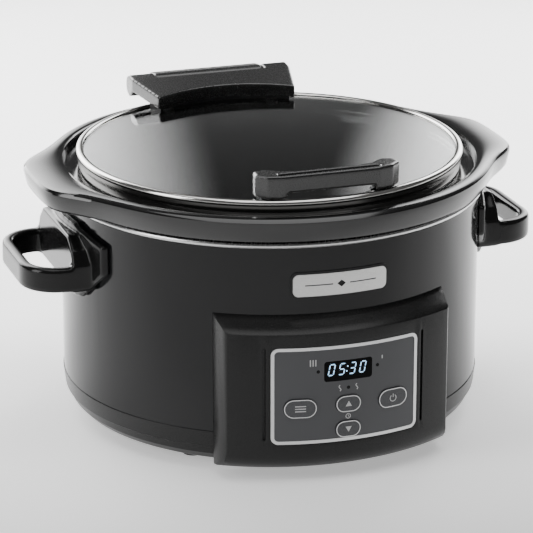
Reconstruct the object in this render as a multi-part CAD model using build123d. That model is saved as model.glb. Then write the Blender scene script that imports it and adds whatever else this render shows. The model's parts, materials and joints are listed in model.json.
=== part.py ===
from build123d import *
import math
import os

os.makedirs("parts", exist_ok=True)

# A slow cooker with a round stoneware crock, a hinged glass lid and a digital panel.
# Millimetres, +Z up. The origin is on the table, under the middle of the heating base.
# The control panel faces -Y and the lid's hinge is at +Y.

# Driving dimensions: the heating base
BODY_R = 148.0
WRAP_T = 0.8
WRAP_Z0 = 30.0
WRAP_Z1 = 162.0
TRAY_Z = 4.0
FOOT_R = 8.0
FOOT_XY = 84.0
COVER_R = 125.0
COVER_T = 1.5
TRAY_FLOOR_T = 2.5
RIM_Z1 = 166.2
WELL_R = 140.0
WELL_T = 0.8
WELL_Z = 33.0
BAND_T = 1.3

# Control panel: everything on it follows one upright cylinder
PANEL_R = 164.0
FRONT_R = 165.0
BEZEL_HALF = 78.0
BEZEL_T = 2.6
TRIM_HALF = 52.0
TRIM_Z0 = 29.0
TRIM_Z1 = 97.5
TRIM_W = 2.2
TRIM_CORNER = 5.0
OVERLAY_T = 0.8
BUTTON_GAP = 0.35
BUTTON_TRAVEL = 0.8
BOARD_Y = -141.5
BOARD_T = 1.6
SWITCH_H = 4.0

# Stoneware
CROCK_R = 136.0
CROCK_BOTTOM_R = 126.0
CROCK_Z = 36.5
CROCK_WALL = 7.5
FLANGE_Z0 = 166.8
FLANGE_Z1 = 184.5
CREST_R = 157.0
RECESS_R = 145.0
RECESS_Z = 176.0
CAVITY_R = 128.5
EAR_X = 173.0
NECK_Y = 84.0
FLANGE_DRAFT = 9.0
FLANGE_ROUND = 3.0

# Lid
RING_R = 136.2
RING_Z0 = 176.5
RING_Z1 = 191.0
GLASS_R = 132.9
GLASS_EDGE_Z = 189.1
DOME_H = 11.0
GLASS_T = 3.5

# Hinge
PIVOT_Y = 143.5
PIVOT_Z = 200.5
KNUCKLE_R = 7.5
KNUCKLE_HALF = 41.5
PIN_R = 2.5
PIN_CLEARANCE = 0.05
TONGUE_Y0 = 158.2
TONGUE_Y1 = 162.0
TONGUE_HALF = 33.0
TONGUE_Z0 = 110.0
SOCKET_HALF = 39.0
SOCKET_Z0 = 96.0
SOCKET_Z1 = 158.0
REAR_Y = 165.0
GLAND_Z = 42.0
GLAND_BORE_R = 3.5

# Handles
HANDLE_X = 189.0
HANDLE_Z0 = 113.0
HANDLE_Z1 = 130.5
LOOP_ROOT_X = 120.0
LOOP_HALF = 49.0
LOOP_T = 8.0
LOOP_CORNER = 27.0
LOOP_ROUND = 2.4

LABELS = {
    "select_button": (-33.0, 54.5, 22.0, 13.4),
    "timer_up_button": (0.0, 55.5, 17.8, 11.8),
    "timer_down_button": (0.0, 37.5, 17.8, 11.8),
    "off_button": (33.0, 54.5, 22.0, 13.4),
}
INDICATORS = [(-21.0, 80.0), (21.0, 80.0), (0.0, 67.0)]
WINDOW = (0.0, 79.5, 34.0, 14.4)


# Helpers

def save(name, shape):
    export_step(shape, f"parts/{name}.step")


def turned(points):
    """A solid of revolution about Z from (radius, z) corner points."""
    outline = Polyline(*[(r, 0, z) for r, z in points], close=True)
    return revolve(make_face(outline), Axis.Z, 360)


def tube(r_out, r_in, z0, z1):
    return turned([(r_in, z0), (r_out, z0), (r_out, z1), (r_in, z1)])


def disc(r, z0, z1):
    return Pos(0, 0, z0) * extrude(Circle(r), z1 - z0)


def block(x0, x1, y0, y1, z0, z1):
    middle = Pos((x0 + x1) / 2, (y0 + y1) / 2, (z0 + z1) / 2)
    return middle * Box(x1 - x0, y1 - y0, z1 - z0)


def prism_z(points, z0, z1):
    """An upright prism on a plan outline."""
    return Pos(0, 0, z0) * extrude(make_face(Polyline(*points, close=True)), z1 - z0)


def prism_x(points, half):
    """A prism across X on a (y, z) side outline."""
    outline = Polyline(*[(-half, y, z) for y, z in points], close=True)
    return extrude(make_face(outline), 2 * half, dir=(1, 0, 0))


def prism_y(sketch, x, z, y0, y1):
    """A sketch seen from the front, at (x, z), pushed from y0 to y1."""
    plane = Plane(origin=(x, y1, z), x_dir=(1, 0, 0), z_dir=(0, -1, 0))
    return extrude(plane * sketch, y1 - y0)


def rod(radius, start, end):
    axis = Vector(*end) - Vector(*start)
    plane = Plane(origin=start, z_dir=axis)
    return extrude(plane * Circle(radius), axis.length)


def panel_plane(x, z, radius=PANEL_R):
    """A plane on the panel's cylinder at (x, z), facing out."""
    lean = x / radius
    depth = math.sqrt(1 - lean * lean)
    return Plane(origin=(x, -radius * depth, z), x_dir=(depth, lean, 0), z_dir=(lean, -depth, 0))


def plug(sketch, x, z, inward, outward):
    """A sketch on the panel at (x, z), pushed in and out along its own normal."""
    plane = panel_plane(x, z)
    return extrude(plane * sketch, outward) + extrude(plane * sketch, -inward)


def pill(width, height, grow=0.0):
    return SlotOverall(width + 2 * grow, height + 2 * grow)


def group(shapes):
    return Compound(children=list(shapes))


# Heating base

def make_tray():
    outer = [(148.5, 30), (147.2, 18.6), (145.4, 17.4)]
    under = [(143.6, 12), (139.6, 7.6), (134, 4.8), (130, TRAY_Z)]
    floor_in = [(112, TRAY_Z), (112, TRAY_Z + TRAY_FLOOR_T), (129, TRAY_Z + TRAY_FLOOR_T)]
    inner = [(133.5, 7.4), (137.8, 9.9), (141.2, 13.6), (142.8, 19), (144.6, 28), (144.6, 30)]
    tray = turned(outer + under + floor_in + inner)
    for x, y in cover_screw_places():
        tray -= Pos(x, y, 0) * Cylinder(1.9, 40)
    return tray


def cover_screw_places():
    places = []
    for k in range(6):
        angle = math.radians(60 * k)
        places.append((119 * math.cos(angle), 119 * math.sin(angle)))
    return places


def make_cover():
    z0 = TRAY_Z + TRAY_FLOOR_T
    cover = disc(COVER_R, z0, z0 + COVER_T)
    for x, y in cover_screw_places():
        cover -= Pos(x, y, 0) * Cylinder(1.9, 40)
    for row in range(-3, 4):
        cover -= Pos(0, 10 * row, z0) * extrude(SlotOverall(60, 3), COVER_T)
    return cover


def make_cover_screws():
    screws = []
    for x, y in cover_screw_places():
        screws.append(Pos(x, y, 2.2) * extrude(Circle(3.4), TRAY_Z - 2.2) + Pos(x, y, 2.2) * extrude(Circle(1.6), 9))
    return group(screws)


def make_feet():
    feet = []
    for x in (-FOOT_XY, FOOT_XY):
        for y in (-FOOT_XY, FOOT_XY):
            foot = Pos(x, y, 0) * extrude(Circle(FOOT_R), TRAY_Z)
            feet.append(fillet(foot.edges().group_by(Axis.Z)[0], 1.0))
    return group(feet)


def handle_screw_places():
    return [(side, y, z) for side in (-1, 1) for y in (-44, 44) for z in (118, 134)]


def make_wrap():
    wrap = tube(BODY_R, BODY_R - WRAP_T, WRAP_Z0, WRAP_Z1)
    wrap -= block(-66, 66, -160, -100, WRAP_Z0 - 1, 104)
    for side, y, z in handle_screw_places():
        wrap -= rod(2.2, (side * 120, y, z), (side * 160, y, z))
    wrap -= rod(7.1, (0, 130, GLAND_Z), (0, 160, GLAND_Z))
    for x in (-26, 26):
        wrap -= rod(2.2, (x, 130, 102), (x, 160, 102))
    return wrap


def make_rim():
    rim = tube(150.8, 146.0, WRAP_Z1 + WELL_T, RIM_Z1)
    outer_edges = rim.edges().filter_by(GeomType.CIRCLE).group_by(SortBy.RADIUS)[-1]
    return fillet(outer_edges, 1.5)


def make_well():
    inside = WELL_R - WELL_T
    well = turned([
        (0, WELL_Z), (128, WELL_Z), (136, WELL_Z + 4), (WELL_R, WELL_Z + 12), (WELL_R, WRAP_Z1),
        (BODY_R, WRAP_Z1), (BODY_R, WRAP_Z1 + WELL_T), (inside, WRAP_Z1 + WELL_T),
        (inside, WELL_Z + 12.2), (135.6, WELL_Z + 4.6), (127.8, WELL_Z + WELL_T), (0, WELL_Z + WELL_T),
    ])
    well -= Pos(0, 0, WELL_Z) * Cylinder(10, 8)
    for x, y in post_places():
        well -= Pos(x, y, WELL_Z) * Cylinder(2.2, 8)
    return well


def post_places():
    places = []
    for k in range(3):
        angle = math.radians(90 + 120 * k)
        places.append((70 * math.cos(angle), 70 * math.sin(angle)))
    return places


def make_posts():
    z0 = TRAY_Z + TRAY_FLOOR_T + COVER_T
    posts = []
    for x, y in post_places():
        posts.append(Pos(x, y, z0) * (extrude(Circle(5), WELL_Z - z0) - extrude(Circle(1.8), WELL_Z - z0)))
    return group(posts)


def make_tie_screws():
    screws = []
    for x, y in post_places():
        head = Pos(x, y, WELL_Z + WELL_T) * extrude(Circle(3.6), 1.2)
        shank = Pos(x, y, WELL_Z - 12) * extrude(Circle(1.7), 13)
        screws.append(head + shank)
    return group(screws)


def make_band():
    band = tube(WELL_R + BAND_T, WELL_R + 0.05, 54, 112)
    return band - block(-4, 4, 120, 160, 40, 120)


def make_insulation():
    """A blanket round the band, cut out behind the control panel."""
    return tube(WELL_R + 3.5, WELL_R + BAND_T + 0.2, 64, 126) - block(-54, 54, -160, -100, 60, 100)


def make_sensor():
    cap = disc(9, WELL_Z - 6, WELL_Z + 2.2)
    return fillet(cap.edges().group_by(Axis.Z)[-1], 1.0)


def make_sensor_spring():
    path = Pos(0, 0, 10) * Helix(pitch=4, height=14, radius=6)
    start = path @ 0
    plane = Plane(origin=start, z_dir=path % 0)
    coil = sweep(plane * Circle(0.7), path, is_frenet=True)
    return coil


def make_fuse():
    body = rod(2.2, (30, -20, WELL_Z - 2.6), (46, -20, WELL_Z - 2.6))
    strap = block(36, 40, -26, -14, WELL_Z - 5.6, WELL_Z - 4.8)
    return body + strap + block(37, 39, -20.5, -19.5, WELL_Z - 5, WELL_Z - 4)


BOARD = (-50.0, 34.0, -104.0, -54.0)
BOARD_Z = 14.0


def make_power_board():
    x0, x1, y0, y1 = BOARD
    return block(x0, x1, y0, y1, BOARD_Z, BOARD_Z + BOARD_T)


def make_standoffs():
    x0, x1, y0, y1 = BOARD
    z0 = TRAY_Z + TRAY_FLOOR_T + COVER_T
    legs = []
    for x in (x0 + 4, x1 - 4):
        for y in (y0 + 4, y1 - 4):
            legs.append(Pos(x, y, z0) * extrude(Circle(3), BOARD_Z - z0))
    return group(legs)


def make_relay():
    x0, _, y0, _ = BOARD
    top = BOARD_Z + BOARD_T
    return block(x0 + 8, x0 + 28, y0 + 12, y0 + 27, top, top + 13)


def make_transformer():
    _, x1, y0, _ = BOARD
    top = BOARD_Z + BOARD_T
    core = block(x1 - 32, x1 - 8, y0 + 12, y0 + 34, top, top + 4)
    coil = block(x1 - 28, x1 - 12, y0 + 14, y0 + 32, top + 4, top + 14)
    return core + coil


def make_leads():
    """Two leads from the power board, under the well and up to the heating band."""
    lead_r = 1.3
    leads = []
    for x in (-20, 12):
        y_board = BOARD[3] - 6
        y_band = math.sqrt((WELL_R + BAND_T + lead_r + 0.1) ** 2 - x * x)
        points = [(x, y_board, BOARD_Z + BOARD_T), (x, y_board, 24), (x, y_band, 24), (x, y_band, 62)]
        path = FilletPolyline(*points, radius=5)
        plane = Plane(origin=path @ 0, z_dir=path % 0)
        leads.append(sweep(plane * Circle(lead_r), path))
    return group(leads)


# Control panel

BEZEL_PROFILE = [(BODY_R + 0.6, 7.2), (153, 8), (158, 10.4), (161.8, 14.6), (163.5, 19), (PANEL_R, 24),
                 (PANEL_R, 106.8), (PANEL_R - 1, 107.8), (BODY_R + 0.1, 115.6), (BODY_R + 0.1, 30.2),
                 (BODY_R + 0.6, 30.2)]
BEZEL_INSIDE = [(BODY_R - 8, 10.4), (152.6, 10.6), (156.6, 12.6), (159.6, 16), (161, 20), (PANEL_R - BEZEL_T, 24.5),
                (PANEL_R - BEZEL_T, 105.4), (BODY_R - 8, 116.2)]


def bezel_plan(inset):
    edge = BEZEL_HALF - inset
    half = [(50, -190), (edge, -160), (edge + 0.7, -143.9), (edge + 1.7, -142.4), (edge + 4, -126), (edge + 4, -90)]
    return [(-x, y) for x, y in reversed(half)] + half


def frame_sketch(half, z0, z1, corner):
    return RectangleRounded(2 * half, z1 - z0, corner)


def make_bezel():
    bezel = turned(BEZEL_PROFILE) & prism_z(bezel_plan(0), 0, 130)
    bezel -= turned(BEZEL_INSIDE) & prism_z(bezel_plan(BEZEL_T), 9, 125)
    middle_z = (TRIM_Z0 + TRIM_Z1) / 2
    seat = prism_y(frame_sketch(TRIM_HALF + 0.1, TRIM_Z0 - 0.1, TRIM_Z1 + 0.1, TRIM_CORNER), 0, middle_z, -180, -130)
    bezel -= seat & tube(PANEL_R + 5, PANEL_R - OVERLAY_T, 20, 110)
    for side in (-1, 1):
        slot = prism_y(SlotOverall(66, 2.0, rotation=90), side * 56.2, 65, -180, -130)
        bezel -= slot & tube(PANEL_R + 5, PANEL_R - 1.6, 20, 110)
    for x, z, width, height in LABELS.values():
        bezel -= plug(pill(width, height, 0.6), x, z, 8, 4)
    bezel -= prism_y(Rectangle(WINDOW[2] - 2, WINDOW[3] - 2), WINDOW[0], WINDOW[1], -180, -150)
    for x, z in INDICATORS:
        bezel -= plug(Circle(1.5), x, z, 8, 4)
    return bezel


def on_panel(sketch, x, z, depth, proud=0.0):
    """A thin piece that lies in the panel's cylinder, outlined from the front."""
    skin = tube(PANEL_R + proud, PANEL_R - depth, 10, 130)
    return prism_y(sketch, x, z, -180, -130) & skin


def make_trim():
    middle_z = (TRIM_Z0 + TRIM_Z1) / 2
    outer = frame_sketch(TRIM_HALF, TRIM_Z0, TRIM_Z1, TRIM_CORNER)
    inner = frame_sketch(TRIM_HALF - TRIM_W, TRIM_Z0 + TRIM_W, TRIM_Z1 - TRIM_W, TRIM_CORNER - TRIM_W)
    return on_panel(outer - inner, 0, middle_z, OVERLAY_T, 0.25)


def make_overlay():
    middle_z = (TRIM_Z0 + TRIM_Z1) / 2
    sheet_outline = frame_sketch(TRIM_HALF - TRIM_W, TRIM_Z0 + TRIM_W, TRIM_Z1 - TRIM_W, TRIM_CORNER - TRIM_W)
    sheet = on_panel(sheet_outline, 0, middle_z, OVERLAY_T)
    for x, z, width, height in LABELS.values():
        sheet -= plug(pill(width, height, BUTTON_GAP), x, z, 4, 4)
    x, z, width, height = WINDOW
    sheet -= prism_y(RectangleRounded(width, height, 2), x, z, -180, -150)
    for x, z in INDICATORS:
        sheet -= plug(Circle(1.2), x, z, 4, 4)
    return sheet


def make_window():
    x, z, width, height = WINDOW
    return on_panel(RectangleRounded(width, height, 2), x, z, OVERLAY_T)


def make_lenses():
    lenses = []
    for x, z in INDICATORS:
        lens = plug(Circle(1.2), x, z, 4, 2) & tube(PANEL_R + 0.1, PANEL_R - 3.2, 10, 130)
        lenses.append(lens)
    return group(lenses)


def make_display():
    x, z, width, height = WINDOW
    return prism_y(Rectangle(width - 3, height - 3), x, z, -157.5, BOARD_Y - BOARD_T)


def make_display_board():
    return block(-48, 48, BOARD_Y - BOARD_T, BOARD_Y, 30, 96)


def make_switches():
    switches = []
    face = BOARD_Y - BOARD_T
    for x, z, _, _ in LABELS.values():
        body = block(x - 3, x + 3, face - SWITCH_H, face, z - 3, z + 3)
        plunger = rod(1.7, (x, face - SWITCH_H, z), (x, face - SWITCH_H - 1, z))
        switches.append(body + plunger)
    return group(switches)


def make_ribbon():
    """A flat cable from the power board to the lower edge of the display board."""
    z0 = BOARD_Z + BOARD_T
    y0 = BOARD[2] + 6
    y1 = BOARD_Y - BOARD_T / 2
    side = [(y0, z0), (y0, 23), (y1 - 0.4, 23), (y1 - 0.4, 30), (y1 + 0.4, 30), (y1 + 0.4, 23.8), (y0 + 0.8, 23.8),
            (y0 + 0.8, z0)]
    return prism_x(side, 8)


def make_button(name):
    x, z, width, height = LABELS[name]
    plane = panel_plane(x, z)
    cap = plug(pill(width, height), x, z, 4.2, 3) & tube(FRONT_R, PANEL_R - 12, z - 20, z + 20)
    lip = extrude(plane.offset(-4.2) * pill(width, height, 1.6), -1.2)
    reach = BOARD_Y - BOARD_T - SWITCH_H - 1 - 0.05
    stem_end = (PANEL_R - 4) * math.sqrt(1 - (x / PANEL_R) ** 2) + reach
    stem = extrude(plane.offset(-4) * Circle(1.9), -(stem_end - BUTTON_TRAVEL - 0.3))
    return cap + lip + stem


def make_badge():
    return badge_sheet(33.0, 15.4, 3.8, BODY_R + 1.1, BODY_R + 0.1)


def badge_sheet(half, height, corner, r_out, r_in):
    return prism_y(RectangleRounded(2 * half, height, corner), 0, 135.7, -170, -120) & tube(r_out, r_in, 120, 150)


def make_badge_frame():
    outer = badge_sheet(34.6, 18.6, 5.0, BODY_R + 0.7, BODY_R + 0.1)
    return outer - badge_sheet(33.1, 15.6, 3.9, BODY_R + 2, BODY_R)


# Handles

def band_plan(x_out, half, corner):
    """The plan of one face of a handle's band: a rectangle with rounded outer corners."""
    return Pos((LOOP_ROOT_X + x_out) / 2, 0) * RectangleRounded(x_out - LOOP_ROOT_X, 2 * half, corner)


def make_handle(side):
    def plate(points, x_out):
        outline = Polyline(*[(0, y, z) for y, z in points], close=True)
        return extrude(make_face(outline), x_out, dir=(1, 0, 0))

    foot = plate([(-61, 147.5), (-26, 155.5), (26, 155.5), (61, 147.5), (61, 127), (34, 104), (26, 102.5),
                  (-26, 102.5), (-34, 104), (-61, 127)], 158)
    foot &= Cylinder(BODY_R + 5, 400)
    collar = plate([(-44, 141), (-34, 149.5), (34, 149.5), (44, 141), (49, 131), (47, 112), (-47, 112),
                    (-49, 131)], 157)
    plan = band_plan(HANDLE_X, LOOP_HALF, LOOP_CORNER)
    plan -= band_plan(HANDLE_X - LOOP_T, LOOP_HALF - LOOP_T, LOOP_CORNER - LOOP_T)
    loop = Pos(0, 0, HANDLE_Z0) * extrude(plan, HANDLE_Z1 - HANDLE_Z0)
    loop = fillet(loop.edges().group_by(Axis.Z)[0] + loop.edges().group_by(Axis.Z)[-1], LOOP_ROUND)
    handle = foot + collar + loop
    handle -= Cylinder(BODY_R + 0.1, 400)
    if side < 0:
        handle = mirror(handle, Plane.YZ)
    for place_side, y, z in handle_screw_places():
        if place_side == side:
            handle -= rod(1.75, (side * 138, y, z), (side * 151.5, y, z))
    return handle


def make_handle_screws():
    screws = []
    for side, y, z in handle_screw_places():
        inner = math.sqrt((BODY_R - WRAP_T) ** 2 - y ** 2)
        head = rod(3.4, (side * (inner - 2.6), y, z), (side * (inner - 1.2), y, z))
        shank = rod(1.7, (side * (inner - 2), y, z), (side * 151, y, z))
        screws.append(head + shank)
    return group(screws)


# Rear fittings

def make_gland():
    """A bush for the mains cord, with a flange on each side of the wrap."""
    throat = rod(7, (0, 142, GLAND_Z), (0, 149, GLAND_Z))
    outside = rod(10, (0, 143, GLAND_Z), (0, 152, GLAND_Z)) - Cylinder(BODY_R + 0.1, 400)
    inside = rod(9, (0, 142, GLAND_Z), (0, 149, GLAND_Z)) & Cylinder(BODY_R - WRAP_T - 0.1, 400)
    return throat + outside + inside - rod(GLAND_BORE_R, (0, 139, GLAND_Z), (0, 160, GLAND_Z))


def make_socket():
    shell = block(-SOCKET_HALF, SOCKET_HALF, 130, REAR_Y, SOCKET_Z0, SOCKET_Z1) - Cylinder(BODY_R + 0.1, 500)
    pocket = block(-TONGUE_HALF - 0.6, TONGUE_HALF + 0.6, TONGUE_Y0 - 0.5, TONGUE_Y1 + 0.5, TONGUE_Z0 - 1, 200)
    shell -= pocket
    for x in (-26, 26):
        shell -= rod(1.75, (x, 140, 102), (x, 158, 102))
    return shell


def make_socket_screws():
    screws = []
    for x in (-26, 26):
        inner = math.sqrt((BODY_R - WRAP_T) ** 2 - x ** 2)
        head = rod(3.4, (x, inner - 2.8, 102), (x, inner - 1.4, 102))
        screws.append(head + rod(1.7, (x, inner - 2, 102), (x, 157, 102)))
    return group(screws)


# Stoneware crock

def flange_outline():
    """The plan of the flange's underside: a round with an ear on each side, its corners rounded."""
    spread = (FLANGE_Z1 - FLANGE_Z0) * math.tan(math.radians(FLANGE_DRAFT))
    round_r = CREST_R - spread
    ear_x = EAR_X - spread
    neck = (math.sqrt(round_r ** 2 - NECK_Y ** 2), NECK_Y)
    flare = (ear_x - 24, 60)
    shoulder = (ear_x - 9, 44)
    corner = (ear_x - 1.5, 33)
    tip = (ear_x, 18)
    neck_dir = (-0.62, 0.78)
    shoulder_dir = (-0.8, 0.6)
    back_half = [
        Spline(tip, corner, shoulder, tangents=[(0, 1), shoulder_dir]),
        Spline(shoulder, flare, neck, tangents=[shoulder_dir, neck_dir]),
    ]
    side = back_half + [edge.mirror(Plane.XZ) for edge in back_half]
    side.append(Line(tip, (ear_x, -tip[1])))
    both = side + [edge.mirror(Plane.YZ) for edge in side]
    for sign in (-1, 1):
        both.append(ThreePointArc((neck[0], sign * NECK_Y), (0, sign * round_r), (-neck[0], sign * NECK_Y)))
    return both


def make_crock():
    outline = make_face(Wire(flange_outline()))
    flange = Pos(0, 0, FLANGE_Z0) * extrude(outline, FLANGE_Z1 - FLANGE_Z0, taper=-FLANGE_DRAFT)
    flange = fillet(flange.edges().group_by(Axis.Z)[-1], FLANGE_ROUND)
    body = turned([
        (0, CROCK_Z), (CROCK_BOTTOM_R - 14, CROCK_Z), (CROCK_BOTTOM_R - 4, CROCK_Z + 4),
        (CROCK_BOTTOM_R + 1, CROCK_Z + 14), (CROCK_R, FLANGE_Z0 - 8), (CROCK_R, FLANGE_Z0 + 2), (0, FLANGE_Z0 + 2),
    ])
    crock = flange + body
    floor_z = CROCK_Z + CROCK_WALL + 1
    crock -= turned([
        (0, floor_z), (CROCK_BOTTOM_R - 20, floor_z), (CROCK_BOTTOM_R - 11, floor_z + 4),
        (CROCK_BOTTOM_R - 7, floor_z + 13), (CAVITY_R, RECESS_Z - 12), (CAVITY_R, RECESS_Z - 1),
        (CAVITY_R + 1, RECESS_Z), (RECESS_R - 1.5, RECESS_Z), (RECESS_R - 0.4, RECESS_Z + 0.6),
        (RECESS_R, RECESS_Z + 2), (RECESS_R + 0.6, FLANGE_Z1 - 1.4), (RECESS_R + 2, FLANGE_Z1 + 1), (0, FLANGE_Z1 + 1),
    ])
    return crock


# Hinge and lid

def make_carrier():
    knuckle = rod(KNUCKLE_R, (-KNUCKLE_HALF, PIVOT_Y, PIVOT_Z), (KNUCKLE_HALF, PIVOT_Y, PIVOT_Z))
    neck = prism_x([(PIVOT_Y, 193.5), (152, 190), (TONGUE_Y0, 187), (TONGUE_Y1, 184), (REAR_Y, 187),
                    (REAR_Y, 197), (161, 203), (154, 206.6), (PIVOT_Y, PIVOT_Z + KNUCKLE_R)], KNUCKLE_HALF)
    tongue = block(-TONGUE_HALF, TONGUE_HALF, TONGUE_Y0, TONGUE_Y1, TONGUE_Z0, 190)
    carrier = knuckle + neck + tongue
    bore = PIN_R + PIN_CLEARANCE
    return carrier - rod(bore, (-60, PIVOT_Y, PIVOT_Z), (60, PIVOT_Y, PIVOT_Z))


def dome_solid(lift):
    """The space under the glass's top surface, raised by lift."""
    edge_z = GLASS_EDGE_Z + lift
    arc = ThreePointArc((-GLASS_R, 0, edge_z), (0, 0, edge_z + DOME_H), (GLASS_R, 0, edge_z))
    right = ThreePointArc((0, 0, edge_z + DOME_H), arc @ 0.75, (GLASS_R, 0, edge_z))
    outline = [right, Line((GLASS_R, 0, edge_z), (GLASS_R, 0, 160)), Line((GLASS_R, 0, 160), (0, 0, 160)),
               Line((0, 0, 160), (0, 0, edge_z + DOME_H))]
    return revolve(make_face(outline), Axis.Z, 360)


GRIP_SCREWS = [(-43.0, -113.0), (43.0, -113.0)]
HINGE_SCREWS = [(-40.0, 112.0), (40.0, 112.0)]


def make_glass():
    glass = dome_solid(0) - dome_solid(-GLASS_T)
    glass &= Pos(0, 0, 190) * Cylinder(GLASS_R, 60)
    low = GLASS_EDGE_Z - GLASS_T
    glass -= disc(GLASS_R + 5, 150, low)
    for x, y in GRIP_SCREWS + HINGE_SCREWS:
        glass -= Pos(x, y, 190) * Cylinder(2.4, 60)
    return glass


def make_lid_ring():
    return turned([
        (131.0, 189.9), (131.4, RING_Z1 - 0.2), (132.6, RING_Z1), (134.6, RING_Z1 - 0.1), (RING_R - 0.2, 189.8),
        (RING_R, 188.2), (RING_R - 0.5, 183), (RING_R - 1.6, 177.4), (RING_R - 2.6, RING_Z0),
        (RING_R - 3.6, 176.8), (RING_R - 3.6, 178), (RING_R - 2.6, 182), (RING_R - 2.4, 185.4),
        (130.6, 185.4), (130.6, GLASS_EDGE_Z - GLASS_T - 0.05), (GLASS_R + 0.1, GLASS_EDGE_Z - GLASS_T - 0.05),
        (GLASS_R + 0.1, 189.5),
    ])


def make_grip():
    plan = [(-34, -130), (34, -130), (44, -127.5), (51, -121), (50, -112.5), (42, -109.5), (32, -116.5),
            (20, -119.5), (-20, -119.5), (-32, -116.5), (-42, -109.5), (-50, -112.5), (-51, -121), (-44, -127.5)]
    grip = prism_z(plan, 191.4, 207.4)
    top = grip.edges().group_by(Axis.Z)[-1]
    grip = fillet(top, 1.2)
    grip -= prism_z([(-36, -126.6), (36, -126.6), (36, -122.6), (-36, -122.6)], 203.4, 210)
    grip -= block(-31, 31, -135, -105, 190, 195)
    grip -= dome_solid(0.1)
    for x, y in GRIP_SCREWS:
        grip -= Pos(x, y, 190) * extrude(Circle(1.75), 10)
    return grip


def make_grip_pads():
    pads = []
    for x, y in GRIP_SCREWS:
        pad = Pos(x, y, 185) * extrude(Circle(4.0), 6.4) - dome_solid(0.02)
        pads.append(pad - Pos(x, y, 190) * Cylinder(2.4, 60))
    return group(pads)


def lid_screws(places, top):
    screws = []
    for x, y in places:
        under = GLASS_EDGE_Z - GLASS_T + DOME_H * (1 - (x * x + y * y) / GLASS_R ** 2) - 1.0
        head = Pos(x, y, under - 3) * extrude(Circle(4.2), 2.6)
        screws.append(head + Pos(x, y, under - 1) * extrude(Circle(1.7), top - under + 1))
    return group(screws)


def make_hinge_plate():
    front_r = 108.8
    plan = prism_z([(-52.5, 90), (-52.5, 96), (-61.5, 134), (-61.5, 153), (61.5, 153), (61.5, 134),
                    (52.5, 96), (52.5, 90)], 185, 215)
    plan -= Cylinder(front_r, 500)
    side = [(88, 192.8), (96, 193.6), (134, 198.0), (138, 194.0), (143.5, 192.2), (149, 194.3), (151.8, 200.5),
            (149.5, 206.0), (143.5, 208.6), (134, 207.8), (96, 203.2), (88, 202.3)]
    plate = plan & prism_x(side, 70)
    plate -= block(-KNUCKLE_HALF - 0.6, KNUCKLE_HALF + 0.6, 134.6, 160, 180, 220)
    plate -= dome_solid(0.3)
    plate -= rod(PIN_R + 0.02, (-58, PIVOT_Y, PIVOT_Z), (58, PIVOT_Y, PIVOT_Z))
    for x, y in HINGE_SCREWS:
        plate -= Pos(x, y, 190) * extrude(Circle(1.75), 10)
    return plate


def make_hinge_pad():
    pad = prism_z([(-48, 90), (-54, 124), (54, 124), (48, 90)], 188, 200) - Cylinder(112, 500)
    pad &= prism_x([(88, 180), (88, 192.6), (96, 193.4), (134, 197.8), (134, 180)], 70)
    pad &= Cylinder(129, 500)
    pad -= dome_solid(0.05)
    for x, y in HINGE_SCREWS:
        pad -= Pos(x, y, 190) * Cylinder(2.4, 60)
    return pad


def make_hinge_pin():
    return rod(PIN_R, (-57.5, PIVOT_Y, PIVOT_Z), (57.5, PIVOT_Y, PIVOT_Z))


PARTS = {
    "base_tray": make_tray(),
    "bottom_cover": make_cover(),
    "cover_screws": make_cover_screws(),
    "feet": make_feet(),
    "outer_wrap": make_wrap(),
    "rim_ring": make_rim(),
    "heating_well": make_well(),
    "well_posts": make_posts(),
    "tie_screws": make_tie_screws(),
    "heating_band": make_band(),
    "insulation": make_insulation(),
    "temperature_sensor": make_sensor(),
    "sensor_spring": make_sensor_spring(),
    "thermal_fuse": make_fuse(),
    "power_board": make_power_board(),
    "board_standoffs": make_standoffs(),
    "relay": make_relay(),
    "transformer": make_transformer(),
    "heater_leads": make_leads(),
    "control_bezel": make_bezel(),
    "panel_trim": make_trim(),
    "control_overlay": make_overlay(),
    "display_window": make_window(),
    "indicator_lenses": make_lenses(),
    "display_module": make_display(),
    "display_board": make_display_board(),
    "tact_switches": make_switches(),
    "ribbon_cable": make_ribbon(),
    "badge": make_badge(),
    "badge_frame": make_badge_frame(),
    "left_handle": make_handle(-1),
    "right_handle": make_handle(1),
    "handle_screws": make_handle_screws(),
    "cord_gland": make_gland(),
    "hinge_socket": make_socket(),
    "socket_screws": make_socket_screws(),
    "crock": make_crock(),
    "hinge_carrier": make_carrier(),
    "lid_ring": make_lid_ring(),
    "lid_glass": make_glass(),
    "front_grip": make_grip(),
    "grip_pads": make_grip_pads(),
    "grip_screws": lid_screws(GRIP_SCREWS, 199.0),
    "hinge_plate": make_hinge_plate(),
    "hinge_pad": make_hinge_pad(),
    "hinge_screws": lid_screws(HINGE_SCREWS, 199.0),
    "hinge_pin": make_hinge_pin(),
}
for button in LABELS:
    PARTS[button] = make_button(button)

for name, shape in PARTS.items():
    save(name, shape)
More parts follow.
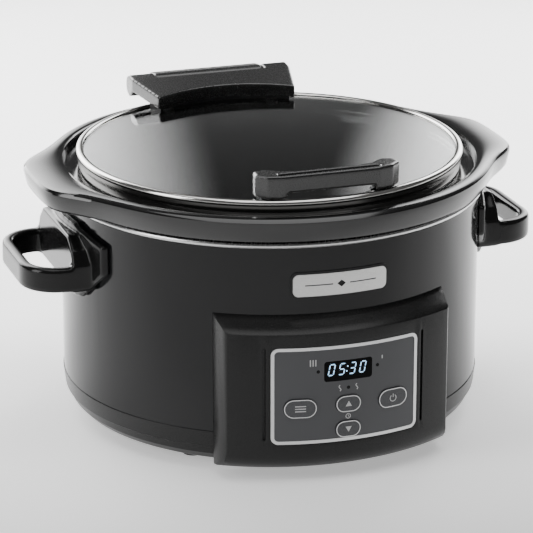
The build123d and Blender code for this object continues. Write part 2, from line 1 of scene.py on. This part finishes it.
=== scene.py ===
import bpy
import bmesh
import json
import math
import numpy as np
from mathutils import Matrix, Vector

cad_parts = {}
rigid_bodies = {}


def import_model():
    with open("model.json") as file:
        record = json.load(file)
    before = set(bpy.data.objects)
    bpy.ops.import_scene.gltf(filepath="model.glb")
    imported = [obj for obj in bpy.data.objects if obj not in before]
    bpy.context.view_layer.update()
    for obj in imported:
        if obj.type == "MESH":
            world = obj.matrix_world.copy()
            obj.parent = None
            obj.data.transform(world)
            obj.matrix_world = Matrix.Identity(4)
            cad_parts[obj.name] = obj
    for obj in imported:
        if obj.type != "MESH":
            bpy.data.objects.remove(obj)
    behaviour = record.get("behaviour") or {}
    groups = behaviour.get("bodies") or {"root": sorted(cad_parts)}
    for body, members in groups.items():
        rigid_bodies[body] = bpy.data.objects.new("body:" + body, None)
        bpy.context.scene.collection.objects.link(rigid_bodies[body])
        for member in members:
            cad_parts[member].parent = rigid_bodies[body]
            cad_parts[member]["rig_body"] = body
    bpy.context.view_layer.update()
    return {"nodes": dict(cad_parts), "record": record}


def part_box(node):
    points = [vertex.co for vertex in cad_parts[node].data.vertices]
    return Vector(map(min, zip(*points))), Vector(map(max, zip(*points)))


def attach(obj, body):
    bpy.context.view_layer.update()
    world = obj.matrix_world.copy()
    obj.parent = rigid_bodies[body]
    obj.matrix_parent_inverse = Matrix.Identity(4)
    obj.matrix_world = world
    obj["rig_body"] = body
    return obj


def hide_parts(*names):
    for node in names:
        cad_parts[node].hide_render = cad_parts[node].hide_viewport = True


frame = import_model()
nodes = frame["nodes"]

MM = 0.001
AROUND = 384  # steps in a full turn of a lathed piece

# The radius of the panel and of the button fronts, about the upright axis
PANEL_R = -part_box("display_window")[0].y
BUTTON_R = -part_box("timer_up_button")[0].y

SMOOTH_ANGLE = 35.0  # edges that turn by more than this stay sharp, unless a piece says otherwise
CAD_SMOOTH_ANGLE = 40.0


# ---------------------------------------------------------------- materials

def node_tree(name):
    material = bpy.data.materials.new(name)
    material.use_nodes = True
    tree = material.node_tree
    return material, tree, tree.nodes["Principled BSDF"]


def coordinates(tree, scale=(1, 1, 1)):
    coords = tree.nodes.new("ShaderNodeTexCoord")
    mapping = tree.nodes.new("ShaderNodeMapping")
    mapping.inputs["Scale"].default_value = scale
    tree.links.new(coords.outputs["Object"], mapping.inputs["Vector"])
    return mapping.outputs["Vector"]


def noise(tree, vector, scale, detail=3.0):
    texture = tree.nodes.new("ShaderNodeTexNoise")
    texture.inputs["Scale"].default_value = scale
    texture.inputs["Detail"].default_value = detail
    tree.links.new(vector, texture.inputs["Vector"])
    return texture.outputs["Fac"]


NOISE_LOW = 0.3  # nearly all of a noise texture's values lie between these two
NOISE_HIGH = 0.7


def spread(tree, value, low, high):
    """Maps a noise value onto low..high."""
    node = tree.nodes.new("ShaderNodeMapRange")
    node.inputs["From Min"].default_value = NOISE_LOW
    node.inputs["From Max"].default_value = NOISE_HIGH
    node.inputs["To Min"].default_value = low
    node.inputs["To Max"].default_value = high
    tree.links.new(value, node.inputs["Value"])
    return node.outputs["Result"]


def tint(tree, value, dark, light):
    """Colours a noise value from dark to light."""
    ramp = tree.nodes.new("ShaderNodeValToRGB")
    for element, position, colour in zip(ramp.color_ramp.elements, (NOISE_LOW, NOISE_HIGH), (dark, light)):
        element.position = position
        element.color = (*colour, 1)
    tree.links.new(value, ramp.inputs["Fac"])
    return ramp.outputs["Color"]


RELIEF_DEPTH = 0.0004


def surface(name, dark, light, rough, metallic=0.0, grain=900.0, bump=0.02, stretch=(1, 1, 1), wave=6.0,
            specular=0.5):
    """A moulded, coated or rolled surface. Its colour varies slowly, by the wave scale. Its gloss and its
    relief vary finely, by the grain scale."""
    material, tree, shader = node_tree(name)
    slow = noise(tree, coordinates(tree), wave, 2.0)
    fine = noise(tree, coordinates(tree, stretch), grain, 4.0)
    tree.links.new(tint(tree, slow, dark, light), shader.inputs["Base Color"])
    tree.links.new(spread(tree, fine, rough[0], rough[1]), shader.inputs["Roughness"])
    relief = tree.nodes.new("ShaderNodeBump")
    relief.inputs["Strength"].default_value = bump
    relief.inputs["Distance"].default_value = RELIEF_DEPTH
    tree.links.new(fine, relief.inputs["Height"])
    tree.links.new(relief.outputs["Normal"], shader.inputs["Normal"])
    shader.inputs["Metallic"].default_value = metallic
    shader.inputs["Specular IOR Level"].default_value = specular
    return material


def glowing(name, colour, strength):
    """A lit segment, whose light varies a little over its face."""
    material, tree, shader = node_tree(name)
    shade = tint(tree, noise(tree, coordinates(tree), 900.0), [c * 0.85 for c in colour], colour)
    tree.links.new(shade, shader.inputs["Emission Color"])
    shader.inputs["Emission Strength"].default_value = strength
    shader.inputs["Base Color"].default_value = (*colour, 1)
    return material


def lid_glass_material():
    """Clear glass with faint smears in its gloss."""
    material, tree, shader = node_tree("clear_glass")
    smear = noise(tree, coordinates(tree, (1, 3, 1)), 14.0)
    tree.links.new(spread(tree, smear, 0.0, 0.03), shader.inputs["Roughness"])
    shader.inputs["Base Color"].default_value = (0.93, 0.95, 0.95, 1)
    shader.inputs["Transmission Weight"].default_value = 1.0
    shader.inputs["IOR"].default_value = 1.45
    return material


def shades(dark, light, tone=(1, 1, 1)):
    """The two ends of a grey's variation, each tinted by the tone."""
    return [dark * t for t in tone], [light * t for t in tone]


COOL = (0.96, 0.98, 1.06)
WARM = (1, 0.98, 0.9)

MATERIALS = {
    "housing_plastic": surface("black_housing", *shades(0.006, 0.009), (0.24, 0.32), grain=2600, bump=0.05,
                               specular=0.28),
    "handle_plastic": surface("black_handle", *shades(0.005, 0.008), (0.12, 0.18), grain=1400, specular=0.25),
    "lid_plastic": surface("black_lid_moulding", *shades(0.006, 0.010), (0.22, 0.30), grain=1400, specular=0.9),
    "wrap_metal": surface("charcoal_coating", *shades(0.004, 0.006, COOL), (0.08, 0.13), grain=420, bump=0.01,
                          stretch=(1, 1, 14), wave=3.0, specular=0.3),
    "rim_steel": surface("rim_bead_steel", *shades(0.60, 0.68), (0.20, 0.30), metallic=1.0, stretch=(1, 1, 9)),
    "ring_steel": surface("lid_ring_steel", *shades(0.58, 0.66, (1.0, 0.985, 0.96)), (0.10, 0.17), metallic=1.0,
                          stretch=(1, 1, 9)),
    "plated_steel": surface("plated_sheet", *shades(0.50, 0.58), (0.28, 0.4), metallic=1.0),
    "screw_steel": surface("zinc_screw", *shades(0.45, 0.55), (0.25, 0.4), metallic=1.0),
    "pin_steel": surface("ground_pin", *shades(0.55, 0.62), (0.15, 0.25), metallic=1.0, stretch=(12, 1, 1)),
    "spring_steel": surface("spring_wire", *shades(0.42, 0.5), (0.25, 0.35), metallic=1.0),
    "band_metal": surface("foil_band", *shades(0.62, 0.72), (0.3, 0.45), metallic=1.0, bump=0.2, grain=300),
    "insulation_fibre": surface("fibre_blanket", *shades(0.62, 0.8, WARM), (0.85, 1.0), bump=0.8,
                                grain=1200),
    "sensor_aluminium": surface("turned_aluminium", *shades(0.6, 0.7), (0.25, 0.35), metallic=1.0),
    "white_ceramic": surface("fuse_ceramic", *shades(0.75, 0.85), (0.3, 0.4)),
    "circuit_board": surface("green_board", (0.01, 0.10, 0.035), (0.015, 0.15, 0.05), (0.3, 0.45)),
    "white_plastic": surface("natural_nylon", *shades(0.7, 0.8), (0.4, 0.55)),
    "relay_plastic": surface("component_body", *shades(0.02, 0.03), (0.45, 0.6)),
    "transformer_core": surface("taped_winding", (0.16, 0.11, 0.04), (0.24, 0.17, 0.07), (0.4, 0.6)),
    "lead_sleeve": surface("red_lead", (0.42, 0.03, 0.02), (0.5, 0.05, 0.03), (0.4, 0.5)),
    "ribbon_plastic": surface("grey_ribbon", *shades(0.4, 0.5), (0.45, 0.55), stretch=(40, 1, 1), grain=60),
    "overlay_plastic": surface("panel_film", *shades(0.048, 0.058, COOL), (0.34, 0.44), grain=3400,
                               bump=0.10),
    "window_plastic": surface("smoked_window", *shades(0.001, 0.002), (0.05, 0.09), specular=0.06),
    "lens_plastic": surface("smoked_lens", *shades(0.004, 0.008), (0.12, 0.2), specular=0.15),
    "display_plastic": surface("display_block", *shades(0.02, 0.03), (0.5, 0.6)),
    "trim_metal": surface("silver_border", *shades(0.60, 0.68), (0.26, 0.36), metallic=1.0, bump=0.03,
                          grain=1600),
    "badge_metal": surface("brushed_plate", *shades(0.55, 0.66, (1, 0.995, 0.98)), (0.24, 0.40), metallic=1.0,
                           grain=260, bump=0.08, stretch=(1, 1, 22)),
    "button_plastic": surface("grained_cap", *shades(0.040, 0.062, COOL), (0.36, 0.5), grain=2600,
                              bump=0.35, wave=900),
    "foot_rubber": surface("foot_rubber", *shades(0.015, 0.02), (0.7, 0.85), bump=0.1),
    "seal_silicone": surface("silicone_pad", *shades(0.015, 0.02), (0.55, 0.7)),
    "stoneware_glaze": surface("black_glaze", *shades(0.003, 0.005), (0.12, 0.18), grain=70, bump=0.03,
                               wave=30, specular=0.65),
    "lid_glass": lid_glass_material(),
    "marking": surface("printed_mark", *shades(0.46, 0.55), (0.5, 0.6)),
    "digit_glow": glowing("lit_segment", (0.42, 0.70, 1.0), 1.5),
    "digit_off": surface("unlit_segment", *shades(0.004, 0.006), (0.3, 0.4), specular=0.1),
    "seam_dark": surface("shadow_gap", *shades(0.002, 0.003), (0.6, 0.8)),
}


# ---------------------------------------------------------------- mesh helpers


def new_object(name, data, slot, body, replaces=()):
    """Puts a mesh into the scene on its body, in place of the CAD nodes that it replaces."""
    piece = bpy.data.objects.new(name, data)
    bpy.context.scene.collection.objects.link(piece)
    data.materials.append(MATERIALS[slot])
    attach(piece, body)
    if replaces:
        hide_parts(*replaces)
    return piece


def smooth(mesh, angle=SMOOTH_ANGLE):
    """Smooth shading, kept sharp at edges that turn by more than the angle."""
    limit = math.radians(angle)
    edit = bmesh.new()
    edit.from_mesh(mesh)
    for face in edit.faces:
        face.smooth = True
    for edge in edit.edges:
        edge.smooth = len(edge.link_faces) == 2 and edge.calc_face_angle(0.0) < limit
    edit.to_mesh(mesh)
    edit.free()


def mesh_from(name, verts, faces, angle=SMOOTH_ANGLE):
    mesh = bpy.data.meshes.new(name)
    mesh.from_pydata(verts, [], faces)
    mesh.validate()
    edit = bmesh.new()
    edit.from_mesh(mesh)
    bmesh.ops.recalc_face_normals(edit, faces=edit.faces)
    edit.to_mesh(mesh)
    edit.free()
    smooth(mesh, angle)
    return mesh


def turned(name, profile, slot, body, replaces=(), outline=None, angle=SMOOTH_ANGLE):
    """A closed section of (radius, z) points in millimetres, turned about the upright axis. A third
    number is the share of the outline's extra radius by which the point is carried out."""
    count = len(profile)
    verts = []
    for k in range(AROUND):
        turn = 2 * math.pi * k / AROUND
        extra = outline(turn) if outline else 0.0
        for r, z, *pull in profile:
            radius = (r + sum(pull) * extra) * MM
            verts.append((radius * math.cos(turn), radius * math.sin(turn), z * MM))
    faces = []
    for k in range(AROUND):
        here = k * count
        ahead = ((k + 1) % AROUND) * count
        for j in range(count):
            n = (j + 1) % count
            faces.append((here + j, ahead + j, ahead + n, here + n))
    return new_object(name, mesh_from(name, verts, faces, angle), slot, body, replaces)


WELD_REACH = 0.02 * MM
RELAX_SHARE = 0.5
EDGE_ANGLE = 28.0  # edges that turn by more than this are bevelled
BEVEL_SMOOTH_ANGLE = 30.0
ALL_SMOOTH = 360.0  # no edge stays sharp


def reshaped(node, name, slot, modifiers, angle):
    """The CAD solid's shape after a few modifiers, as a new mesh in its place. Each modifier is its type
    and its settings."""
    source = nodes[node]
    copy = bpy.data.objects.new(name, source.data.copy())
    copy.data.materials.clear()
    bpy.context.scene.collection.objects.link(copy)
    for kind, settings in (("WELD", {"merge_threshold": WELD_REACH}), *modifiers):
        modifier = copy.modifiers.new(kind.lower(), kind)
        for setting, value in settings.items():
            setattr(modifier, setting, value)
    bpy.context.view_layer.update()
    graph = bpy.context.evaluated_depsgraph_get()
    mesh = bpy.data.meshes.new_from_object(copy.evaluated_get(graph))
    bpy.data.objects.remove(copy)
    mesh.name = name
    mesh.materials.clear()
    smooth(mesh, angle)
    return new_object(name, mesh, slot, source["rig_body"], (node,))


def softened(node, name, slot, voxel, passes):
    """The CAD solid with its edges rounded as moulded plastic is. The voxel is in millimetres."""
    remesh = ("REMESH", {"mode": "VOXEL", "voxel_size": voxel * MM})
    relax = ("SMOOTH", {"factor": RELAX_SHARE, "iterations": passes})
    return reshaped(node, name, slot, (remesh, relax), ALL_SMOOTH)


def bevelled(node, name, slot, width):
    """The CAD solid with a small even round on its sharp edges, its width in millimetres."""
    bevel = ("BEVEL", {"width": width * MM, "segments": 2, "limit_method": "ANGLE",
                       "angle_limit": math.radians(EDGE_ANGLE)})
    return reshaped(node, name, slot, (bevel,), BEVEL_SMOOTH_ANGLE)


PLATE_SMOOTH_ANGLE = 30.0


def on_cylinder(x, z, radius):
    """A point on the panel, from its front-view place in millimetres and a radius in metres."""
    across = x * MM
    return (across, -math.sqrt(radius * radius - across * across), z * MM)


def plate(name, shapes, radius, thickness, slot, body):
    """Thin marks that follow a cylinder about the upright axis. Each shape is (outer, inner or None),
    closed lists of the same number of (x, z) points. With no inner list the outline is filled."""
    verts = []
    faces = []
    for outer, inner in shapes:
        base = len(verts)
        count = len(outer)
        for loop in [outer, inner] if inner else [outer]:
            for depth in (0.0, thickness * MM):
                verts += [on_cylinder(x, z, radius - depth) for x, z in loop]

        def at(loop, back, k):
            return base + (2 * loop + back) * count + k % count

        for k in range(count):
            faces.append((at(0, 0, k), at(0, 1, k), at(0, 1, k + 1), at(0, 0, k + 1)))
            if inner:
                faces.append((at(1, 0, k + 1), at(1, 1, k + 1), at(1, 1, k), at(1, 0, k)))
                faces.append((at(0, 0, k), at(0, 0, k + 1), at(1, 0, k + 1), at(1, 0, k)))
                faces.append((at(0, 1, k + 1), at(0, 1, k), at(1, 1, k), at(1, 1, k + 1)))
        if not inner:
            faces.append([at(0, 0, k) for k in range(count)])
            faces.append([at(0, 1, count - 1 - k) for k in range(count)])
    return new_object(name, mesh_from(name, verts, faces, PLATE_SMOOTH_ANGLE), slot, body)


def pill_outline(x, z, width, height, steps=14):
    """A closed pill, counted round from its right end."""
    radius = height / 2
    straight = width / 2 - radius
    points = []
    for side, start in ((1, -90), (-1, 90)):
        for k in range(steps + 1):
            turn = math.radians(start + 180 * k / steps)
            points.append((x + side * straight + radius * math.cos(turn), z + radius * math.sin(turn)))
    return points


def circle(x, z, radius, start=0, sweep=360, steps=24):
    """The points of a circle, or of an arc of it with both of its ends."""
    points = []
    for k in range(steps + (sweep < 360)):
        turn = math.radians(start + sweep * k / steps)
        points.append((x + radius * math.cos(turn), z + radius * math.sin(turn)))
    return points


def stroke(points, width):
    """A line of even width along a few points, as a closed outline."""
    left = []
    right = []
    for k, here in enumerate(points):
        ahead = points[min(k + 1, len(points) - 1)]
        behind = points[max(k - 1, 0)]
        run = np.array(ahead, float) - np.array(behind, float)
        side = np.array((-run[1], run[0])) / np.hypot(*run) * width / 2
        left.append((here[0] + side[0], here[1] + side[1]))
        right.append((here[0] - side[0], here[1] - side[1]))
    return left + right[::-1]


# ---------------------------------------------------------------- the CAD nodes keep their shapes

for entry in frame["record"]["subparts"]:
    node = nodes[entry["node"]]
    node.data.materials.clear()
    node.data.materials.append(MATERIALS[entry["material_slot"]])
    for polygon in node.data.polygons:
        polygon.use_smooth = True
    node.data.set_sharp_from_angle(angle=math.radians(CAD_SMOOTH_ANGLE))


# ---------------------------------------------------------------- stoneware crock

# The flange's reach past its round, in millimetres, by the angle from the X axis
EAR_TURNS = [0, 4, 8, 11, 13.5, 16, 19, 23, 27, 32, 38, 90]
EAR_REACH = [16.2, 16.6, 17.4, 17.5, 15.6, 11.6, 7.4, 3.4, 1.2, 0.2, 0.0, 0.0]
EAR_SAMPLES = 9
EAR_SAMPLE_STEP = 0.8

# The section of the crock from the middle of its underside out, up, and back in to the middle of its floor
CROCK_SECTION = [
    (0.5, 36.6), (60, 36.6), (112, 36.6), (118, 37.4), (122, 40), (125.4, 45), (127, 51), (131, 100),
    (135.8, 158), (136, 166.9), (146, 166.9, 0.2), (151, 167.1, 0.7), (153.2, 168.2, 0.95), (154.4, 170.6, 1),
    (155.6, 176, 1), (156.4, 179.6, 1), (156.2, 181.8, 1), (154.8, 183.4, 1), (152.4, 184.2, 0.93),
    (149.4, 184.5, 0.6), (147.2, 184.3, 0.1), (145.9, 183.4), (145.3, 181.8), (145, 178.5), (144.2, 176.6),
    (142.6, 176.05), (130.6, 176), (129.2, 175.4), (128.6, 174), (128.3, 160), (124, 100), (119, 60),
    (117.4, 53), (113, 48), (105, 45.4), (60, 45), (0.5, 45),
]


def ear(turn):
    """How far the flange stands out past its round: two ears along X, with their corners averaged."""
    away = math.degrees(abs(math.atan2(abs(math.sin(turn)), abs(math.cos(turn)))))
    reach = 0.0
    for k in range(EAR_SAMPLES):
        beside = (k - (EAR_SAMPLES - 1) / 2) * EAR_SAMPLE_STEP
        reach += np.interp(abs(away + beside), EAR_TURNS, EAR_REACH)
    return reach / EAR_SAMPLES


turned("crock_body", CROCK_SECTION, "stoneware_glaze", "crock", ("crock",), ear)


# ---------------------------------------------------------------- steel bead and lid ring

BEAD_SECTION = [(146.0, 162.7), (146.0, 166.1), (149.0, 166.1), (150.1, 165.7), (150.7, 164.9), (150.8, 164.0),
                (150.5, 163.2), (149.8, 162.8)]

# The ring wraps the edge of the glass and rolls down to the recess in the crock
RING_SECTION = [
    (131.0, 189.8), (131.5, 190.6), (132.6, 191.0), (134.4, 190.9), (135.6, 190.2), (136.15, 189.2),
    (136.2, 188), (135.9, 186.8), (135.3, 185.6), (135.2, 183.5), (134.7, 180), (134.2, 177.6),
    (133.4, 176.6), (132.7, 177.2), (133.0, 180), (133.4, 184), (132.9, 185.5), (131.0, 185.6),
    (130.9, 185.9), (132.9, 186.2), (133.0, 189.3),
]

turned("rim_bead", BEAD_SECTION, "rim_steel", "base", ("rim_ring",), angle=50)
turned("lid_ring_rolled", RING_SECTION, "ring_steel", "lid", ("lid_ring",), angle=60)


# ---------------------------------------------------------------- moulded pieces with rounded edges

MOULDED = (  # node, slot, voxel in millimetres, smoothing passes
    ("left_handle", "handle_plastic", 0.8, 30),
    ("right_handle", "handle_plastic", 0.8, 30),
    ("front_grip", "lid_plastic", 0.45, 40),
    ("hinge_plate", "lid_plastic", 0.6, 22),
    ("hinge_carrier", "lid_plastic", 0.6, 8),
    ("hinge_socket", "handle_plastic", 0.8, 8),
)
for moulded, plastic, grid, rounds in MOULDED:
    softened(moulded, f"{moulded}_moulding", plastic, grid, rounds)
bevelled("control_bezel", "control_bezel_moulding", "housing_plastic", 0.35)


# ---------------------------------------------------------------- control panel

SEGMENTS = {"0": "abcdef", "3": "abcdg", "5": "acdfg"}  # which of the segments a to g are lit
DIGITS = "0530"
DIGIT_W = 3.5
DIGIT_H = 7.6
DIGIT_SLANT = 0.2
DIGIT_PLACES = (-11.8, -4.6, 2.9, 10.1)
DIGIT_LIFT = 1.0
COLON_X = -1.0
COLON_REACH = 1.7
COLON_R = 0.5
SEGMENT_HALF = 0.36
SEGMENT_GAP = 0.26


def segment(letter):
    """One segment's outline about the digit's middle: a bar with pointed ends."""
    w = DIGIT_W / 2
    h = DIGIT_H / 2
    ends = {
        "a": ((-w, h), (w, h)), "b": ((w, h), (w, 0)), "c": ((w, 0), (w, -h)), "d": ((-w, -h), (w, -h)),
        "e": ((-w, 0), (-w, -h)), "f": ((-w, h), (-w, 0)), "g": ((-w, 0), (w, 0)),
    }
    (x0, z0), (x1, z1) = ends[letter]
    run = np.array((x1 - x0, z1 - z0), float)
    along = run / np.hypot(*run)
    side = np.array((-along[1], along[0])) * SEGMENT_HALF
    point = along * SEGMENT_HALF
    start = np.array((x0, z0)) + along * SEGMENT_GAP
    end = np.array((x1, z1)) - along * SEGMENT_GAP
    return [start, start + point + side, end - point + side, end, end - point - side, start + point - side]


def display():
    """The lit and unlit segments of a four-digit clock display."""
    low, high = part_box("display_window")
    middle = (low.z + high.z) / 2 / MM + DIGIT_LIFT
    lit = []
    unlit = []
    for place, digit in zip(DIGIT_PLACES, DIGITS):
        for letter in "abcdefg":
            outline = []
            for x, z in segment(letter):
                outline.append((place + x + DIGIT_SLANT * z, middle + z))
            (lit if letter in SEGMENTS[digit] else unlit).append((outline, None))
    for offset in (-COLON_REACH, COLON_REACH):
        lit.append((circle(COLON_X + DIGIT_SLANT * offset, middle + offset, COLON_R), None))
    plate("display_digits", lit, PANEL_R + 0.05 * MM, 0.05, "digit_glow", "base")
    plate("display_unlit_segments", unlit, PANEL_R + 0.03 * MM, 0.03, "digit_off", "base")


BUTTONS = (  # node, middle across the front, width, height
    ("select_button", -33.0, 22.0, 13.4),
    ("timer_up_button", 0.0, 17.8, 11.8),
    ("timer_down_button", 0.0, 17.8, 11.8),
    ("off_button", 33.0, 22.0, 13.4),
)
OUTLINE_W = 0.55
OUTLINE_INSET = 0.5


def buttons():
    """A silver outline and a mark on the face of each button."""
    for name, x, width, height in BUTTONS:
        low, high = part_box(name)
        z = (low.z + high.z) / 2 / MM
        width -= OUTLINE_INSET
        height -= OUTLINE_INSET
        inner = pill_outline(x, z, width - 2 * OUTLINE_W, height - 2 * OUTLINE_W)
        outline = [(pill_outline(x, z, width, height), inner)]
        plate(f"{name}_outline", outline, BUTTON_R + 0.08 * MM, 0.2, "trim_metal", name)
        plate(f"{name}_mark", button_mark(name, x, z), BUTTON_R + 0.06 * MM, 0.15, "marking", name)


def button_mark(name, x, z):
    """Triangles on the timer buttons, a power sign on the off button, and three lines on the other."""
    if name == "timer_up_button":
        return [([(x - 2.2, z - 1.7), (x + 2.2, z - 1.7), (x, z + 2.1)], None)]
    if name == "timer_down_button":
        return [([(x - 2.2, z + 1.7), (x, z - 2.1), (x + 2.2, z + 1.7)], None)]
    if name == "off_button":
        ring = (stroke(circle(x, z - 0.2, 2.3, 125, 290), 0.6), None)
        return [ring, (stroke([(x, z + 0.4), (x, z + 2.9)], 0.6), None)]
    return [(stroke([(x - 3.6, z + dz), (x + 3.6, z + dz)], 0.7), None) for dz in (-1.8, 0, 1.8)]


def panel_marks():
    """Bars for high and low heat, waves for keep warm, and a clock between the timer buttons."""
    marks = []
    for dx in (-1.8, 0, 1.8):
        marks.append((stroke([(-24.5 + dx, 84.0), (-24.5 + dx, 88.6)], 0.75), None))
    marks.append((stroke([(24.5, 84.0), (24.5, 86.4)], 0.75), None))
    for side in (-1, 1):
        wave = [(side * 6.0 + 0.7 * math.sin(k * 0.9), 64.8 + 0.62 * k) for k in range(8)]
        marks.append((stroke(wave, 0.6), None))
    marks.append((circle(0, 46.4, 1.9), circle(0, 46.4, 1.35)))
    marks.append((stroke([(0, 47.4), (0, 46.4), (0.8, 45.9)], 0.4), None))
    plate("panel_marks", marks, PANEL_R + 0.06 * MM, 0.1, "marking", "base")


display()
buttons()
panel_marks()


# ---------------------------------------------------------------- badge

def badge_motif():
    """A plain generic ornament: a bar with a lozenge in the middle."""
    low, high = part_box("badge")
    middle = (low.z + high.z) / 2 / MM
    radius = -low.y + 0.12 * MM
    shapes = [([(-3, middle), (0, middle - 2.4), (3, middle), (0, middle + 2.4)], None)]
    for side in (-1, 1):
        shapes.append((stroke([(side * 6, middle), (side * 15, middle), (side * 25, middle)], 0.7), None))
    plate("badge_ornament", shapes, radius, 0.2, "seam_dark", "base")


badge_motif()


# ---------------------------------------------------------------- stage, light and camera

VIEW_ALONG = (0.32, 0.947, 0)  # the level direction from the camera to the object
FLOOR_REACH = 9.0
FLOOR_GLOW = 2.2
FLOOR_SPAN = 0.8  # the glow changes between this far before and behind the object
FLOOR_LEVELS = ((0.0, 0.03), (0.30, 0.05), (0.43, 0.22), (0.52, 0.36), (0.62, 0.66), (0.85, 1.0))


def fade_ramp(tree, value, levels):
    """A soft ramp of greys, by (position, level)."""
    ramp = tree.nodes.new("ShaderNodeValToRGB")
    ramp.color_ramp.interpolation = "EASE"
    elements = ramp.color_ramp.elements
    for position, level in levels[1:-1]:
        elements.new(position).color = (level, level, level, 1)
    for element, (position, level) in ((elements[0], levels[0]), (elements[-1], levels[-1])):
        element.position = position
        element.color = (level, level, level, 1)
    tree.links.new(value, ramp.inputs["Fac"])
    return ramp.outputs["Color"]


def floor():
    """A pale floor that glows a little, and more strongly behind the object, like a lit sweep."""
    material, tree, shader = node_tree("pale_floor")
    coords = tree.nodes.new("ShaderNodeTexCoord")
    along = tree.nodes.new("ShaderNodeVectorMath")
    along.operation = "DOT_PRODUCT"
    along.inputs[1].default_value = VIEW_ALONG
    tree.links.new(coords.outputs["Object"], along.inputs[0])
    place = tree.nodes.new("ShaderNodeMapRange")
    place.inputs["From Min"].default_value = -FLOOR_SPAN
    place.inputs["From Max"].default_value = FLOOR_SPAN
    tree.links.new(along.outputs["Value"], place.inputs["Value"])
    glow = fade_ramp(tree, place.outputs["Result"], FLOOR_LEVELS)
    tree.links.new(glow, shader.inputs["Emission Color"])
    shader.inputs["Base Color"].default_value = (0.86, 0.86, 0.86, 1)
    shader.inputs["Roughness"].default_value = 0.9
    shader.inputs["Specular IOR Level"].default_value = 0.1
    shader.inputs["Emission Strength"].default_value = FLOOR_GLOW
    corners = [(x * FLOOR_REACH, y * FLOOR_REACH, 0) for x, y in ((-1, -1), (1, -1), (1, 1), (-1, 1))]
    mesh = bpy.data.meshes.new("floor")
    mesh.from_pydata(corners, [], [(0, 1, 2, 3)])
    mesh.materials.append(material)
    piece = bpy.data.objects.new("floor", mesh)
    bpy.context.scene.collection.objects.link(piece)


def softbox(name, place, aim, width, height, power):
    light = bpy.data.lights.new(name, "AREA")
    light.shape = "RECTANGLE"
    light.size = width
    light.size_y = height
    light.energy = power
    lamp = bpy.data.objects.new(name, light)
    lamp.location = place
    lamp.rotation_euler = (Vector(aim) - Vector(place)).to_track_quat("-Z", "Y").to_euler()
    bpy.context.scene.collection.objects.link(lamp)
    return lamp


CARD_LOW = 0.2
CARD_HIGH = 1.3
CARD_FADE = 0.42  # the share of the width over which each side fades


def card(name, place, width, strength):
    """An upright softbox that faces the axis, bright along its middle and fading to its sides."""
    height = CARD_HIGH - CARD_LOW
    middle = (CARD_LOW + CARD_HIGH) / 2
    lamp = softbox(name, (*place, middle), (0, 0, middle), width, height, strength * math.pi * width * height)
    lamp.data.use_nodes = True
    tree = lamp.data.node_tree
    across = tree.nodes.new("ShaderNodeNewGeometry")
    split = tree.nodes.new("ShaderNodeSeparateXYZ")
    tree.links.new(across.outputs["Parametric"], split.inputs["Vector"])
    levels = ((0.0, 0.0), (CARD_FADE, 1.0), (1 - CARD_FADE, 1.0), (1.0, 0.0))
    glow = fade_ramp(tree, split.outputs["X"], levels)
    tree.links.new(glow, tree.nodes["Emission"].inputs["Color"])


def world():
    sky = bpy.data.worlds.new("studio")
    sky.use_nodes = True
    sky.node_tree.nodes["Background"].inputs["Color"].default_value = (1, 1, 1, 1)
    sky.node_tree.nodes["Background"].inputs["Strength"].default_value = 0.12
    bpy.context.scene.world = sky


CAMERA_AWAY = 2.035
CAMERA_AZIMUTH = math.radians(-18.8)
CAMERA_HEIGHT = math.radians(19.43)
CAMERA_TARGET = (0, 0, 0.0832)
CAMERA_PITCH = math.radians(-19.02)
CAMERA_YAW = math.radians(-18.74)


def camera():
    level = math.cos(CAMERA_HEIGHT)
    across = math.sin(CAMERA_AZIMUTH) * level
    outward = Vector((across, -math.cos(CAMERA_AZIMUTH) * level, math.sin(CAMERA_HEIGHT)))
    lens = bpy.data.cameras.new("camera")
    lens.lens = 191.7
    lens.sensor_width = 36
    eye = bpy.data.objects.new("camera", lens)
    eye.location = Vector(CAMERA_TARGET) + CAMERA_AWAY * outward
    eye.rotation_euler = (math.pi / 2 + CAMERA_PITCH, 0, CAMERA_YAW)
    bpy.context.scene.collection.objects.link(eye)
    bpy.context.scene.camera = eye


floor()
world()
softbox("overhead", (0, -0.3, 2.4), (0, 0, 0), 2.4, 2.4, 44)
softbox("left_side", (-2.0, -0.4, 0.9), (0, 0, 0.15), 0.8, 1.6, 24)
card("left_back_card", (-0.42, 1.20), 1.7, 10.0)
card("right_back_card", (0.92, 0.95), 0.95, 8.0)
camera()
